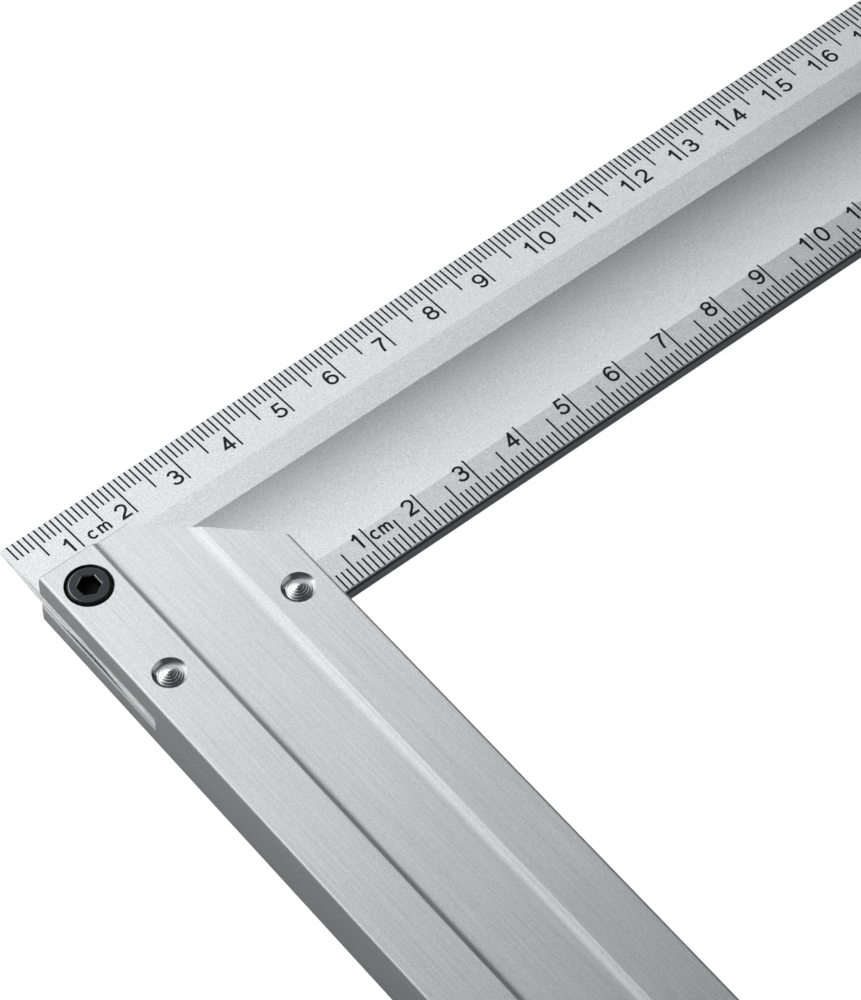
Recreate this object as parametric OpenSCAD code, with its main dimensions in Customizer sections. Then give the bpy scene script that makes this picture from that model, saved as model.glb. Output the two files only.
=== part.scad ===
// Carpenter square lying flat: an aluminium blade let into a slot in an aluminium stock,
// held there by two pins and one socket screw.
// Inside the modules X runs along the blade from the stock's outer face, Y is zero at the
// blade's outer edge and negative towards the stock's free end, and Z is zero at the
// middle of the blade's thickness.

/* [Blade] */
// Reach of the blade, from the stock's outer face to its far end
blade_reach = 300; // [150:10:600]
// Width of the blade, from its outer edge to its inner edge
blade_w = 39.5; // [32:0.5:60]
// Thickness of the blade at its flat bands
blade_t = 2.8; // [2:0.1:3.6]
// Thickness left at the thin outer edge
outer_edge_t = 0.4; // [0.2:0.1:1]
// Width of the bevel that carries the outer scale
bevel_w = 10.5; // [8:0.5:12]
// Width of the flat band between the bevel and the hollow
middle_band_w = 5; // [2:0.5:7]
// Width of the flat band that carries the inner scale
inner_band_w = 7.2; // [6:0.2:10]
// Depth of the hollow in each face
hollow_depth = 0.75; // [0.2:0.05:0.9]
// How far the heel of the blade lies inside the stock's outer face
heel_inset = 0.3; // [0:0.1:1]

/* [Stock] */
// Reach of the stock, from the blade's outer edge to its free end
stock_reach = 175; // [100:5:300]
// Width of the stock, from its outer face to its inner face
stock_w = 34; // [28:0.5:45]
// Thickness of the stock
stock_h = 11.3; // [9:0.1:16]
// How far the stock's end stops short of the blade's outer edge
end_setback = 10.9; // [5:0.1:14]
// Each leg of the 45 degree cut at the stock's inner corner
corner_cut = 17.4; // [5:0.2:20]
// Radius of the two long outer edges
outer_edge_r = 0.9; // [0.3:0.1:2]
// Radius of the two long inner edges
inner_edge_r = 0.5; // [0.2:0.1:1.5]

/* [Channel in each face of the stock] */
// Width of the raised strip along the outer face
outer_strip_w = 9.9; // [8.5:0.1:11]
// Width of the raised strip along the inner face
inner_strip_w = 9.5; // [8:0.1:11]
// Depth of the channel between the strips
channel_depth = 0.6; // [0.2:0.1:1]
// Width of the slope down from the outer strip
outer_slope_w = 0.9; // [0.6:0.1:2]
// Width of the slope up to the inner strip
inner_slope_w = 1.6; // [0.6:0.1:2]
// Radius at the foot of the outer slope
outer_foot_r = 2; // [0.5:0.1:2.5]
// Radius at the foot of the inner slope
inner_foot_r = 3; // [0.5:0.1:3.5]

/* [Slot for the blade] */
// Gap between each flat band of the blade and the wall of the slot
slot_clearance = 0.02; // [0.01:0.01:0.1]
// Gap between the blade's inner edge and the closed end of the slot
seat_clearance = 0.02; // [0.01:0.01:0.2]
// Leg of the small chamfer along the slot's edges
slot_chamfer = 0.25; // [0.1:0.05:0.5]

/* [Pins] */
// Diameter of each pin
pin_d = 4.2; // [3:0.1:4.4]
// Distance from the blade's inner edge to the pins
pin_edge_gap = 2.8; // [2.5:0.1:4]
// Distance from the stock's outer face to the outer pin and the screw
outer_fastener_x = 5.2; // [4.8:0.1:6]
// Distance from the stock's inner face to the inner pin
inner_fastener_x = 4.9; // [4:0.1:6]
// Diameter of the countersink's mouth
sink_d = 5.4; // [4.6:0.1:6]
// Depth of the countersink, and of the pin's shoulder in it
sink_depth = 0.65; // [0.3:0.05:1]
// How far the pin's point stands above the stock
point_rise = 0.65; // [0.1:0.05:1]
// Diameter of the blunt tip of the point
tip_d = 0.3; // [0.1:0.1:1]
// Gap all round a pin in its holes
pin_clearance = 0.02; // [0.01:0.01:0.05]

/* [Socket screw] */
// Distance from the stock's end to the screw
screw_end_gap = 5.9; // [5:0.1:8]
// Thread diameter of the screw
screw_d = 4; // [3:0.5:5]
// Diameter of the screw's head
head_d = 7; // [6.6:0.1:7.2]
// Height of the screw's head
head_h = 2.8; // [2:0.1:3]
// How far the head stands above the stock
head_rise = 0.2; // [0:0.1:0.5]
// Leg of the chamfer round the head's top
head_chamfer = 0.5; // [0.1:0.1:0.8]
// Size of the hexagon socket across its flats
socket_flats = 3; // [2:0.1:4]
// Depth of the hexagon socket
socket_depth = 1.8; // [1:0.1:2]
// Gap all round the head in its counterbore
head_clearance = 0.25; // [0.1:0.05:0.4]
// Gap under the head and above the counterbore's floor
head_seat_gap = 0.02; // [0.01:0.01:0.1]
// Gap all round the screw in its plain holes
shank_clearance = 0.2; // [0.1:0.05:0.4]
// Gap all round the screw in its tapped hole
thread_clearance = 0.05; // [0.01:0.01:0.1]
// How far the screw's tip stops above the stock's underside
screw_tip_gap = 0.7; // [0.2:0.1:1.5]
// Leg of the chamfer at the screw's tip
screw_tip_chamfer = 0.5; // [0.2:0.1:0.8]

/* [Hidden] */
$fn = 96;

// Sides of the hollow's large circle in the preview, so that it looks as smooth as the rest
hollow_fn = 720;

// Every cut runs past the faces that it leaves by this much
overrun = 1;

// Heights of the faces, from the middle of the blade
stock_top = stock_h / 2;
blade_top = blade_t / 2;
slot_top = blade_top + slot_clearance;

// The hollow is a round trough: its chord, its radius and its middle line
hollow_w = blade_w - bevel_w - middle_band_w - inner_band_w;
hollow_r = (pow(hollow_w / 2, 2) + pow(hollow_depth, 2)) / (2 * hollow_depth);
hollow_y = -(bevel_w + middle_band_w + hollow_w / 2);

// Places of the fasteners
pin_y = -(blade_w - pin_edge_gap);
pin_places = [[outer_fastener_x, pin_y], [stock_w - inner_fastener_x, pin_y]];
screw_place = [outer_fastener_x, -(end_setback + screw_end_gap)];

// Heights of the screw, from the middle of the blade
head_top = stock_top + head_rise;
head_seat = head_top - head_h;
screw_tip = -stock_top + screw_tip_gap;
pilot_depth = (socket_flats / 2) * tan(30);

// The part's frame has its origin under the middle of the square's bounding box
frame_shift = [-blade_reach / 2, stock_reach / 2, stock_top];

module in_frame() {
    translate(frame_shift) children();
}

// Outline of the stock across its length, with all four long edges rounded
module rounded_bar() {
    span = stock_w - outer_edge_r - inner_edge_r;
    translate([outer_edge_r, -stock_top]) square([span, stock_h]);
    for (side = [0, 1]) {
        r = side == 0 ? outer_edge_r : inner_edge_r;
        x = side == 0 ? 0 : stock_w - inner_edge_r;
        middle = side == 0 ? outer_edge_r : stock_w - inner_edge_r;
        translate([x, -stock_top + r]) square([r, stock_h - 2 * r]);
        for (turn = [-1, 1]) translate([middle, turn * (stock_top - r)]) circle(r);
    }
}

// Half of the channel's section: its slope starts at zero and falls towards +X, with a
// round foot, and the floor runs on to the given half width
module channel_half(slope_w, foot_r, half_w) {
    tilt = atan2(channel_depth, slope_w);
    reach = foot_r * tan(tilt / 2);
    polygon([
        [-overrun * cos(tilt), overrun * sin(tilt)],
        [slope_w - reach * cos(tilt), -channel_depth + reach * sin(tilt)],
        [slope_w + reach, -channel_depth],
        [half_w, -channel_depth],
        [half_w, overrun * sin(tilt)]
    ]);
    intersection() {
        translate([slope_w + reach, -channel_depth + foot_r]) circle(foot_r);
        translate([0, -channel_depth]) square([slope_w + reach, channel_depth]);
    }
}

module channel() {
    floor_w = (stock_w - outer_strip_w - inner_strip_w) / 2;
    translate([outer_strip_w, stock_top]) channel_half(outer_slope_w, outer_foot_r, floor_w);
    translate([stock_w - inner_strip_w, stock_top])
        mirror([1, 0]) channel_half(inner_slope_w, inner_foot_r, floor_w);
}

module stock_profile() {
    difference() {
        rounded_bar();
        channel();
        mirror([0, 1]) channel();
    }
}

// Slot from the stock's end to the blade's inner edge, with its edges broken
module blade_slot() {
    slot_end = -(blade_w + seat_clearance);
    slot_len = -slot_end - end_setback;
    translate([-overrun, slot_end, -slot_top])
        cube([stock_w + 2 * overrun, slot_len + overrun, 2 * slot_top]);
    for (turn = [0, 1]) {
        translate([turn * stock_w, -end_setback + overrun, 0]) mirror([turn, 0, 0])
            rotate([90, 0, 0]) linear_extrude(slot_len + overrun) slot_mouth();
    }
}

// Section of the broken edges at the outer face, 45 degrees from each edge into the slot
module slot_mouth() {
    half_h = slot_top + slot_chamfer;
    polygon([[-slot_chamfer, 0], [0, half_h], [slot_chamfer, slot_top], [slot_chamfer, -slot_top],
             [0, -half_h]]);
}

module corner_wedge() {
    reach = corner_cut + overrun;
    translate([stock_w, -end_setback, 0]) rotate([0, 0, 180])
        translate([-overrun, -overrun, -stock_top - overrun])
            linear_extrude(stock_h + 2 * overrun)
                polygon([[0, 0], [reach + overrun, 0], [0, reach + overrun]]);
}

// Hole for one pin, countersunk in both faces of the stock
module pin_hole() {
    hole_r = pin_d / 2 + pin_clearance;
    translate([0, 0, -stock_top - overrun]) cylinder(r = hole_r, h = stock_h + 2 * overrun);
    for (side = [0, 1]) mirror([0, 0, side]) translate([0, 0, stock_top - sink_depth])
        cylinder(r1 = hole_r, r2 = sink_d / 2 + pin_clearance, h = sink_depth);
}

module screw_holes() {
    translate([0, 0, head_seat - head_seat_gap])
        cylinder(r = head_d / 2 + head_clearance, h = stock_top - head_seat + head_seat_gap + overrun);
    cylinder(r = screw_d / 2 + shank_clearance, h = head_seat);
    translate([0, 0, -stock_top - overrun])
        cylinder(r = screw_d / 2 + thread_clearance, h = stock_top + overrun);
}

module stock() {
    color("#D5D7D8") in_frame() difference() {
        translate([0, -end_setback, 0]) rotate([90, 0, 0])
            linear_extrude(stock_reach - end_setback) stock_profile();
        corner_wedge();
        blade_slot();
        for (place = pin_places) translate(place) pin_hole();
        translate(screw_place) screw_holes();
    }
}

// Section of the blade: its first axis runs across the blade and its second one is height
module blade_profile() {
    difference() {
        polygon([
            [0, outer_edge_t / 2], [-bevel_w, blade_top], [-blade_w, blade_top],
            [-blade_w, -blade_top], [-bevel_w, -blade_top], [0, -outer_edge_t / 2]
        ]);
        for (side = [-1, 1])
            translate([hollow_y, side * (blade_top - hollow_depth + hollow_r)])
                circle(hollow_r, $fn = hollow_fn);
    }
}

module blade() {
    color("#DADCDC") in_frame() difference() {
        translate([heel_inset, 0, 0]) rotate([90, 0, 90])
            linear_extrude(blade_reach - heel_inset) blade_profile();
        for (place = pin_places) translate(place) translate([0, 0, -blade_t])
            cylinder(r = pin_d / 2 + pin_clearance, h = 2 * blade_t);
        translate(screw_place) translate([0, 0, -blade_t])
            cylinder(r = screw_d / 2 + shank_clearance, h = 2 * blade_t);
    }
}

// One pin: a flush head below, and a turned point that stands in its countersink above
module pin() {
    shoulder = stock_top - sink_depth;
    translate([0, 0, -stock_top]) cylinder(d1 = sink_d, d2 = pin_d, h = sink_depth);
    translate([0, 0, -shoulder]) cylinder(d = pin_d, h = 2 * shoulder);
    translate([0, 0, shoulder]) cylinder(d1 = pin_d, d2 = tip_d, h = sink_depth + point_rise);
}

module pins() {
    color("#C9CCCE") in_frame() for (place = pin_places) translate(place) pin();
}

module socket() {
    translate([0, 0, head_top - socket_depth]) rotate([0, 0, 30])
        cylinder(d = socket_flats / cos(30), h = socket_depth + overrun, $fn = 6);
    translate([0, 0, head_top - socket_depth - pilot_depth])
        cylinder(d1 = 0, d2 = socket_flats, h = pilot_depth);
}

module socket_screw() {
    color("#1E2124") in_frame() translate(screw_place) difference() {
        union() {
            translate([0, 0, head_top - head_chamfer])
                cylinder(d1 = head_d, d2 = head_d - 2 * head_chamfer, h = head_chamfer);
            translate([0, 0, head_seat]) cylinder(d = head_d, h = head_h - head_chamfer);
            translate([0, 0, screw_tip + screw_tip_chamfer])
                cylinder(d = screw_d, h = head_seat - screw_tip - screw_tip_chamfer);
            translate([0, 0, screw_tip])
                cylinder(d1 = screw_d - 2 * screw_tip_chamfer, d2 = screw_d, h = screw_tip_chamfer);
        }
        socket();
    }
}

stock();
blade();
pins();
socket_screw();
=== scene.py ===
# %% [markdown]
# # A carpenter square, from bars of aluminium to the picture
#
# The object is a flat square for marking out: a graduated blade let into the slotted end
# of a thick stock, held there by two pins and one socket screw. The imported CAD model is
# loaded first. It is the frame: it fixes where each part is and how large, and every
# piece made below stands where its CAD node stands.

import math

import bmesh
import bpy
from mathutils import Matrix, Vector
from mathutils.bvhtree import BVHTree


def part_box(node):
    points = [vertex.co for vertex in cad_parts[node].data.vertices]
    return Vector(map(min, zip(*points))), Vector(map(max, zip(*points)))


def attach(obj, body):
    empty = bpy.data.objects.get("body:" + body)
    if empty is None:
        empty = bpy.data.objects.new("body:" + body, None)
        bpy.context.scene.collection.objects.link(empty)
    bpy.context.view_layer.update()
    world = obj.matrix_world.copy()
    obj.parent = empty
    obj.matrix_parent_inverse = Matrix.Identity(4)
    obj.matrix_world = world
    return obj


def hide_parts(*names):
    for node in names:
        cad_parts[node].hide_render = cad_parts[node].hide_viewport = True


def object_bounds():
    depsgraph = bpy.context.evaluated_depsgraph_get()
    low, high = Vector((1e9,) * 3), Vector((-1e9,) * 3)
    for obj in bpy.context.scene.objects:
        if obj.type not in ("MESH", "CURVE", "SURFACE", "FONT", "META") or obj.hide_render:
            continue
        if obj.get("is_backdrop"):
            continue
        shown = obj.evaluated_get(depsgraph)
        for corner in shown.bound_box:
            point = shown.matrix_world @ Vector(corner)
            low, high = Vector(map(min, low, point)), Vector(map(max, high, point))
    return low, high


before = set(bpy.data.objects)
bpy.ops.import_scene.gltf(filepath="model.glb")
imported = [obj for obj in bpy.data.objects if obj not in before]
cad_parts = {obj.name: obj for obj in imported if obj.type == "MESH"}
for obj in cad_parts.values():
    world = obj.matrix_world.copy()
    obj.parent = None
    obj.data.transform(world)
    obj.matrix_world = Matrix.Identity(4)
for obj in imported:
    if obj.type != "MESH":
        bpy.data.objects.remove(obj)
cad_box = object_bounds()

# %% [markdown]
# ## One place to measure from
#
# A maker measures a square from its corner. So the pieces are built in millimetres, with X
# along the blade from the stock's outer face, Y zero at the blade's outer edge and
# negative towards the stock's free end, and Z zero at the middle of the blade's
# thickness. Building in millimetres also keeps the cuts exact, because a gap of
# 0.02 mm is a tiny number in metres. One matrix then takes a finished piece to its place
# in the frame. Its numbers come from the boxes of the CAD nodes.

# %% Sizes read from the frame, and the matrix into it
MM = 0.001
stock_low, stock_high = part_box("stock")
blade_low, blade_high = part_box("blade")
corner = Vector((stock_low.x, blade_high.y, (blade_low.z + blade_high.z) / 2))
into_frame = Matrix.Translation(corner) @ Matrix.Scale(MM, 4)

STOCK_W = (stock_high.x - stock_low.x) / MM
STOCK_END = (stock_high.y - corner.y) / MM
STOCK_FOOT = (stock_low.y - corner.y) / MM
STOCK_TOP = (stock_high.z - corner.z) / MM
BLADE_W = (blade_high.y - blade_low.y) / MM
BLADE_T = (blade_high.z - blade_low.z) / MM
BLADE_TIP = (blade_high.x - corner.x) / MM
HEEL_INSET = (blade_low.x - corner.x) / MM
print(f"stock {STOCK_W:.1f} wide, {2 * STOCK_TOP:.1f} thick, from {STOCK_END:.1f} to {STOCK_FOOT:.1f} mm")
print(f"blade {BLADE_W:.1f} wide, {BLADE_T:.1f} thick, from {HEEL_INSET:.1f} to {BLADE_TIP:.1f} mm")

# %% [markdown]
# ## The camera
#
# The picture was taken with a long lens, from in front of the corner and above it, so the
# two arms run out of the picture. The place, the angles and the focal length were worked
# out from the scale's own lines, which are 1 mm apart on the real blade. A camera can be
# aimed at a point, but a solved camera has a small roll as well, so its three
# angles are written down as they are.

# %% Place the camera
CAMERA_PLACE = (-0.329315, -0.245366, 0.542026)
CAMERA_ANGLES = (35.38856, 0.5036, -38.95938)
FOCAL_PIXELS = 4336.63
PICTURE_LONG_SIDE = 1000
SENSOR_MM = 36.0

camera_data = bpy.data.cameras.new("camera")
camera_data.sensor_width = SENSOR_MM
camera_data.lens = FOCAL_PIXELS * SENSOR_MM / PICTURE_LONG_SIDE
camera_data.clip_start = 0.01
camera_data.clip_end = 100.0
camera = bpy.data.objects.new("camera", camera_data)
camera.location = CAMERA_PLACE
camera.rotation_euler = [math.radians(angle) for angle in CAMERA_ANGLES]
bpy.context.scene.collection.objects.link(camera)
bpy.context.scene.camera = camera
print(f"lens {camera_data.lens:.1f} mm on a {SENSOR_MM:.0f} mm sensor")

# %% [markdown]
# ## Small tools used by every piece
#
# A node tree is only nodes, settings and links, so one function adds a node with all
# three. A colour is written as the hex value that a colour picker shows, which is sRGB,
# and Blender computes with linear light, so one function turns it.

# %% Node and colour helpers
def add_node(tree, kind, sockets=None, **settings):
    """Adds a node. sockets gives each input, by name or number, a value or what feeds it."""
    node = tree.nodes.new(kind)
    for name, value in settings.items():
        setattr(node, name, value)
    for key, value in (sockets or {}).items():
        if isinstance(value, bpy.types.Node):
            value = value.outputs[0]
        if isinstance(value, bpy.types.NodeSocket):
            tree.links.new(value, node.inputs[key])
        else:
            node.inputs[key].default_value = value
    return node


def linear(hex_colour):
    """An sRGB hex colour as the linear values that shaders use."""
    values = [int(hex_colour[i:i + 2], 16) / 255 for i in (1, 3, 5)]
    without_curve = [v / 12.92 if v <= 0.04045 else ((v + 0.055) / 1.055) ** 2.4 for v in values]
    return (*without_curve, 1.0)


print("middle grey #808080 in linear light:", [round(v, 3) for v in linear("#808080")[:3]])

# %% [markdown]
# ## Cutting and joining solids
#
# The real stock is cut from a bar, slotted by a saw or cutter, and drilled. The model is
# made in the same order: a solid bar first, then one boolean for each cut. Every solid
# used as a cutter is closed, because a boolean only knows inside from outside on a
# closed mesh. The evaluated result becomes a plain mesh, and the modifier is gone.

# %% Mesh helpers
TURN_STEPS = 96


def new_object(name, data):
    """A mesh or a lamp as an object of the scene."""
    piece = bpy.data.objects.new(name, data)
    bpy.context.scene.collection.objects.link(piece)
    return piece


def new_mesh_object(name, verts, faces):
    """A mesh object from points and faces, with its normals turned outwards."""
    mesh = bpy.data.meshes.new(name)
    mesh.from_pydata([tuple(map(float, v)) for v in verts], [], faces)
    bm = bmesh.new()
    bm.from_mesh(mesh)
    bmesh.ops.recalc_face_normals(bm, faces=bm.faces)
    bm.to_mesh(mesh)
    bm.free()
    return new_object(name, mesh)


def work_in_modifiers(piece):
    """Replaces the piece's mesh by the evaluated one and takes the modifiers off."""
    bpy.context.view_layer.update()
    depsgraph = bpy.context.evaluated_depsgraph_get()
    mesh = bpy.data.meshes.new_from_object(piece.evaluated_get(depsgraph))
    old = piece.data
    piece.modifiers.clear()
    piece.data = mesh
    mesh.name = piece.name
    bpy.data.meshes.remove(old)
    return piece


def combine(piece, tool, how="DIFFERENCE"):
    """Cuts the tool from the piece, or joins or overlaps them, and uses the tool up."""
    modifier = piece.modifiers.new(how.lower(), "BOOLEAN")
    modifier.operation = how
    modifier.solver = "EXACT"
    modifier.object = tool
    work_in_modifiers(piece)
    old = tool.data
    bpy.data.objects.remove(tool)
    bpy.data.meshes.remove(old)


def loft(name, rings):
    """A closed solid through rings of equally many points, capped at both ends."""
    count = len(rings[0])
    verts = [v for ring in rings for v in ring]
    faces = [tuple(range(count)), tuple(range(len(verts) - count, len(verts)))]
    for level in range(len(rings) - 1):
        base = level * count
        for i in range(count):
            j = (i + 1) % count
            faces.append((base + i, base + j, base + count + j, base + count + i))
    return new_mesh_object(name, verts, faces)


def prism(name, outline, low, high):
    """An upright prism over an outline of (x, y) points."""
    return loft(name, [[(x, y, z) for x, y in outline] for z in (low, high)])


def turned(name, profile, centre, cut_thread=None):
    """A solid of revolution through (radius, height) points, from pole to pole."""
    verts = []
    rings = []
    for radius, height in profile:
        ring = []
        for k in range(TURN_STEPS if radius else 1):
            angle = 2 * math.pi * k / TURN_STEPS
            r = cut_thread(radius, height, angle) if cut_thread else radius
            ring.append(len(verts))
            verts.append((centre[0] + r * math.cos(angle), centre[1] + r * math.sin(angle), height))
        rings.append(ring)
    faces = []
    for lower, upper in zip(rings, rings[1:]):
        for k in range(TURN_STEPS):
            n = (k + 1) % TURN_STEPS
            below = [lower[i % len(lower)] for i in (k, n)]
            above = [upper[i % len(upper)] for i in (n, k)]
            faces.append(tuple(dict.fromkeys(below + above)))
    return new_mesh_object(name, verts, faces)


def rounded_outline(corners, segments=8):
    """A closed outline through (x, y, radius) corners, each rounded by its radius."""
    points = []
    count = len(corners)
    for i in range(count):
        here = Vector(corners[i][:2])
        radius = corners[i][2]
        before = (Vector(corners[i - 1][:2]) - here).normalized()
        after = (Vector(corners[(i + 1) % count][:2]) - here).normalized()
        half = before.angle(after) / 2
        reach = radius / math.tan(half)
        middle = here + (before + after).normalized() * radius / math.sin(half)
        start = here + before * reach - middle
        turn = start.angle_signed(here + after * reach - middle)
        for k in range(segments + 1):
            spoke = start.copy()
            spoke.rotate(Matrix.Rotation(-turn * k / segments, 2))
            points.append(middle + spoke)
    return [tuple(p) for p in points]


check = rounded_outline([(0, 0, 1), (10, 0, 1), (10, 5, 1), (0, 5, 1)])
check_xs = [round(x, 3) for x, y in check]
print("test outline:", len(check), "points, x from", min(check_xs), "to", max(check_xs))

# %% [markdown]
# ## The stock: an extruded bar
#
# The stock is a length of extruded aluminium. Its section is the same all along: two
# raised strips, a shallow channel between them in each face, and rounded long edges.
# A section like that is best drawn once, corner by corner with a radius for each, and
# lofted along the length. The slopes of the channel are what the light picks out: the one
# by the outer strip reads as a dark line and the one by the inner strip as a bright one,
# so their widths and radii were fitted to the photograph. The outer side leans in a
# little below its top edge, which spreads the light there. The ends get a small chamfer,
# as a deburred saw cut has.

# %% Section of the stock
OUTER_STRIP_W = 10.0
INNER_STRIP_W = 9.67
CHANNEL_DEPTH = 0.6
OUTER_SLOPE_W = 0.95
INNER_SLOPE_W = 0.9
TOP_EDGE_R = 0.55
TOP_LEAN_W = 0.18
TOP_LEAN_H = 1.2
TOP_LEAN_R = 2.0
BOTTOM_EDGE_R = 0.9
INNER_EDGE_R = 0.58
OUTER_CREST_R = 0.5
INNER_CREST_R = 0.9
OUTER_FOOT_R = 1.7
INNER_FOOT_R = 2.6
END_CHAMFER = 0.2
SECTION_STEPS = 14


def stock_corners(top):
    """Corners of one face of the section, from the outer face to the inner one."""
    floor = top - math.copysign(CHANNEL_DEPTH, top)
    rise = STOCK_W - INNER_STRIP_W
    if top > 0:
        edge = [(0, top - TOP_LEAN_H, TOP_LEAN_R), (TOP_LEAN_W, top, TOP_EDGE_R)]
    else:
        edge = [(0, top, BOTTOM_EDGE_R)]
    return edge + [
        (OUTER_STRIP_W, top, OUTER_CREST_R),
        (OUTER_STRIP_W + OUTER_SLOPE_W, floor, OUTER_FOOT_R),
        (rise - INNER_SLOPE_W, floor, INNER_FOOT_R),
        (rise, top, INNER_CREST_R),
        (STOCK_W, top, INNER_EDGE_R),
    ]


def stock_ring(y, inset):
    """The section at one place along the stock, shrunk by inset for the end chamfers."""
    corners = stock_corners(STOCK_TOP) + stock_corners(-STOCK_TOP)[::-1]
    outline = [Vector(point) for point in rounded_outline(corners, SECTION_STEPS)]
    ring = []
    for i, here in enumerate(outline):
        along = outline[(i + 1) % len(outline)] - outline[i - 1]
        x, z = here + Vector((along.y, -along.x)).normalized() * inset
        ring.append((x, y, z))
    return ring


stock = loft("stock_bar", [
    stock_ring(STOCK_END, END_CHAMFER),
    stock_ring(STOCK_END - END_CHAMFER, 0),
    stock_ring(STOCK_FOOT + END_CHAMFER, 0),
    stock_ring(STOCK_FOOT, END_CHAMFER),
])
print("bar:", len(stock.data.polygons), "faces, size", [round(v, 2) for v in stock.dimensions])

# %% [markdown]
# ## Saw cuts, slot and holes in the stock
#
# One 45 degree cut takes the inner corner off, and a slot from the end receives the blade.
# The slot's long edges are broken by hand, which shows as a light line along each of
# them. The pins' holes are countersunk in both faces. The screw has a counterbore for
# its head, a plain hole down to the blade and a tapped one below it.

# %% Cut the corner and the slot
CORNER_CUT = 17.4
FIT = 0.02
SLOT_HALF = BLADE_T / 2 + FIT
SLOT_END = -(BLADE_W + FIT)
SLOT_BREAK = 0.25
OVERRUN = 1.0

cut_x = STOCK_W - CORNER_CUT
cut_y = STOCK_END - CORNER_CUT
combine(stock, prism("corner_cutter", [
    (cut_x - OVERRUN, STOCK_END + OVERRUN),
    (STOCK_W + OVERRUN, STOCK_END + OVERRUN),
    (STOCK_W + OVERRUN, cut_y - OVERRUN),
], -STOCK_TOP - OVERRUN, STOCK_TOP + OVERRUN))

slot_xs = (-OVERRUN, STOCK_W + OVERRUN)
slot_ys = (SLOT_END, STOCK_END + OVERRUN)
slot_outline = [(slot_xs[i], slot_ys[j]) for i, j in ((0, 0), (1, 0), (1, 1), (0, 1))]
combine(stock, prism("slot_cutter", slot_outline, -SLOT_HALF, SLOT_HALF))
for face_x in (0.0, STOCK_W):
    reach = SLOT_HALF + SLOT_BREAK
    diamond = [(face_x - reach, 0), (face_x, reach), (face_x + reach, 0), (face_x, -reach)]
    rings = [[(x, y, z) for x, z in diamond] for y in slot_ys]
    combine(stock, loft("slot_edge_cutter", rings))
print("after the saw cuts:", len(stock.data.polygons), "faces")

# %% Drill the holes
PIN_XS = (5.2, STOCK_W - 4.9)
PIN_Y = -(BLADE_W - 2.8)
PIN_R = 2.1
PIN_HOLE_R = PIN_R + FIT
SINK_R = 2.72
SINK_DEPTH = 0.65
SCREW_PLACE = (5.2, STOCK_END - 5.9)
HEAD_TOP = STOCK_TOP + 0.2
HEAD_H = 2.8
HEAD_SEAT = HEAD_TOP - HEAD_H - FIT
HEAD_R = 3.5
COUNTERBORE_R = HEAD_R + 0.25
SHANK_HOLE_R = 2.2
TAPPED_HOLE_R = 2.05
RIM = 0.08

outside = STOCK_TOP + OVERRUN
for pin_x in PIN_XS:
    combine(stock, turned("pin_drill", [
        (0, -outside),
        (SINK_R + OVERRUN, -outside),
        (SINK_R, -STOCK_TOP),
        (PIN_HOLE_R, SINK_DEPTH - STOCK_TOP),
        (PIN_HOLE_R, STOCK_TOP - SINK_DEPTH),
        (SINK_R, STOCK_TOP),
        (SINK_R + OVERRUN, outside),
        (0, outside),
    ], (pin_x, PIN_Y)))
combine(stock, turned("screw_drill", [
    (0, -outside),
    (TAPPED_HOLE_R + RIM + OVERRUN, -outside),
    (TAPPED_HOLE_R + RIM, -STOCK_TOP),
    (TAPPED_HOLE_R, RIM - STOCK_TOP),
    (TAPPED_HOLE_R, 0),
    (SHANK_HOLE_R, 0),
    (SHANK_HOLE_R, HEAD_SEAT),
    (COUNTERBORE_R, HEAD_SEAT),
    (COUNTERBORE_R, STOCK_TOP - RIM),
    (COUNTERBORE_R + RIM, STOCK_TOP),
    (COUNTERBORE_R + RIM + OVERRUN, outside),
    (0, outside),
], SCREW_PLACE))
print("drilled stock:", len(stock.data.polygons), "faces")

# %% [markdown]
# ## The blade: a plate whose thickness follows a rule
#
# Across the blade the height follows one rule: a bevel that rises from the thin outer
# edge, a flat band, a wide shallow hollow, and the flat band of the inner scale. Such a
# shape could be drawn as a section, but as a rule it is one height for each distance
# from the edge. So Geometry Nodes take a box with many strips across it and move
# every point to half the thickness there, above or below the middle. The strips
# are 0.1 mm wide, which puts a point on each line where the bands meet. Like every tree
# here, it ends by making its copies real and setting the material, because only real
# faces are exported.

# %% Rule of the blade's face, as a node tree
BEVEL_W = 10.5
MIDDLE_BAND_W = 5.0
INNER_BAND_W = 7.2
EDGE_T = 0.4
HOLLOW_DEPTH = 0.75
HOLLOW_W = BLADE_W - BEVEL_W - MIDDLE_BAND_W - INNER_BAND_W
HOLLOW_R = ((HOLLOW_W / 2) ** 2 + HOLLOW_DEPTH ** 2) / (2 * HOLLOW_DEPTH)
STRIP = 0.1
EDGE_BREAK = 0.12


def new_tree(name, inputs):
    """A geometry tree with a geometry input and output, and the named inputs."""
    tree = bpy.data.node_groups.new(name, "GeometryNodeTree")
    tree.interface.new_socket("Geometry", in_out="INPUT", socket_type="NodeSocketGeometry")
    for label, kind in inputs:
        tree.interface.new_socket(label, in_out="INPUT", socket_type="NodeSocket" + kind)
    tree.interface.new_socket("Geometry", in_out="OUTPUT", socket_type="NodeSocketGeometry")
    return tree


def run_tree(name, tree, values):
    """A new object shaped by the tree, as a plain mesh, with values for its inputs."""
    piece = new_mesh_object(name, [], [])
    modifier = piece.modifiers.new(tree.name, "NODES")
    modifier.node_group = tree
    for item in tree.interface.items_tree:
        if item.in_out == "INPUT" and item.name in values:
            modifier[item.identifier] = values[item.name]
    return work_in_modifiers(piece)


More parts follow.
